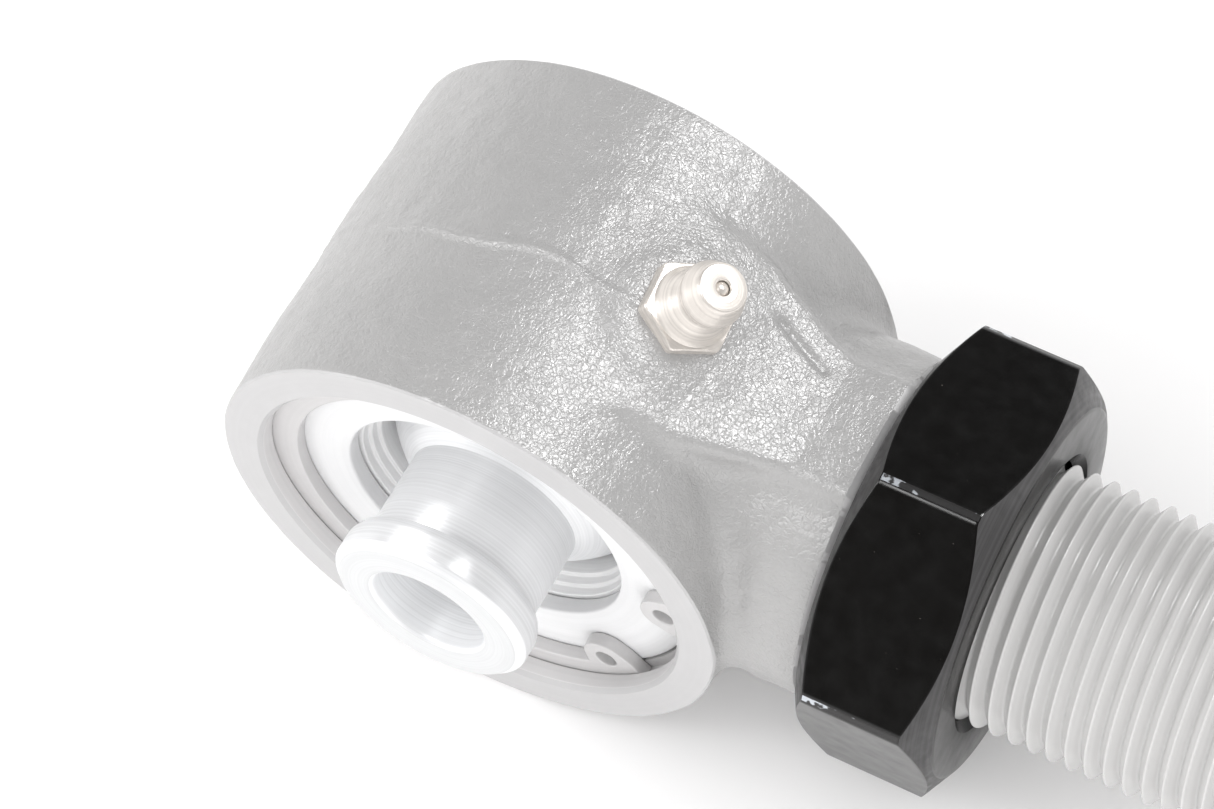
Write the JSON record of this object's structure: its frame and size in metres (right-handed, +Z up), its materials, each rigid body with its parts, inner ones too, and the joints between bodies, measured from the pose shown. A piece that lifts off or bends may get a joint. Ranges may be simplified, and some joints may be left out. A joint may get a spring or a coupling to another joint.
{
  "type": "tie rod end",
  "caption": "Spherical tie rod end: forged barrel with threaded shank, bored ball in twin races, jam nut and grease fitting.",
  "frame": {"origin": "centre of the ball, on the axis of the bolt bore", "axes": "+X along the threaded shank away from the barrel, +Y along the bolt bore, +Z up, towards the grease fitting's side"},
  "size_m": [0.1239, 0.0588, 0.0631],
  "materials": {
    "forging": "rough forged skin, glossy",
    "black_nut": "black oxide",
    "ball_steel": "turned, bright plated",
    "race": "turned, greased",
    "washer_steel": "fine speckled zinc",
    "ring_steel": "oiled spring steel",
    "nickel": "satin nickel"
  },
  "bodies": {
    "housing": {"forged_housing": "forging", "front_side_washer": "washer_steel", "rear_side_washer": "washer_steel", "front_snap_ring": "ring_steel", "rear_snap_ring": "ring_steel", "grease_fitting_body": "nickel", "grease_fitting_spring": "ring_steel"},
    "races": {"front_race": "race", "rear_race": "race"},
    "ball": {"ball_sleeve": "ball_steel"},
    "nut": {"jam_nut": "black_nut"},
    "grease_check": {"grease_check_ball": "nickel"}
  },
  "joints": [
    {"name": "race_spin", "type": "hinge", "parent": "housing", "child": "races", "pos_m": [0, 0, 0], "axis": [0, 1, 0], "continuous": true},
    {"name": "ball_tilt", "type": "hinge", "parent": "races", "child": "ball", "pos_m": [0, 0, 0], "axis": [1, 0, 0], "range_deg": [-17, 17]},
    {"name": "nut_travel", "type": "slide", "parent": "housing", "child": "nut", "axis": [1, 0, 0], "range_m": [0, 0.042]},
    {"name": "check_ball_press", "type": "slide", "parent": "housing", "child": "grease_check", "axis": [-0.4985, 0, -0.8669], "range_m": [0, 0.0006], "stiffness_N_per_m": 150, "springref_m": -0.0004, "deforming": ["grease_fitting_spring"]}
  ]
}
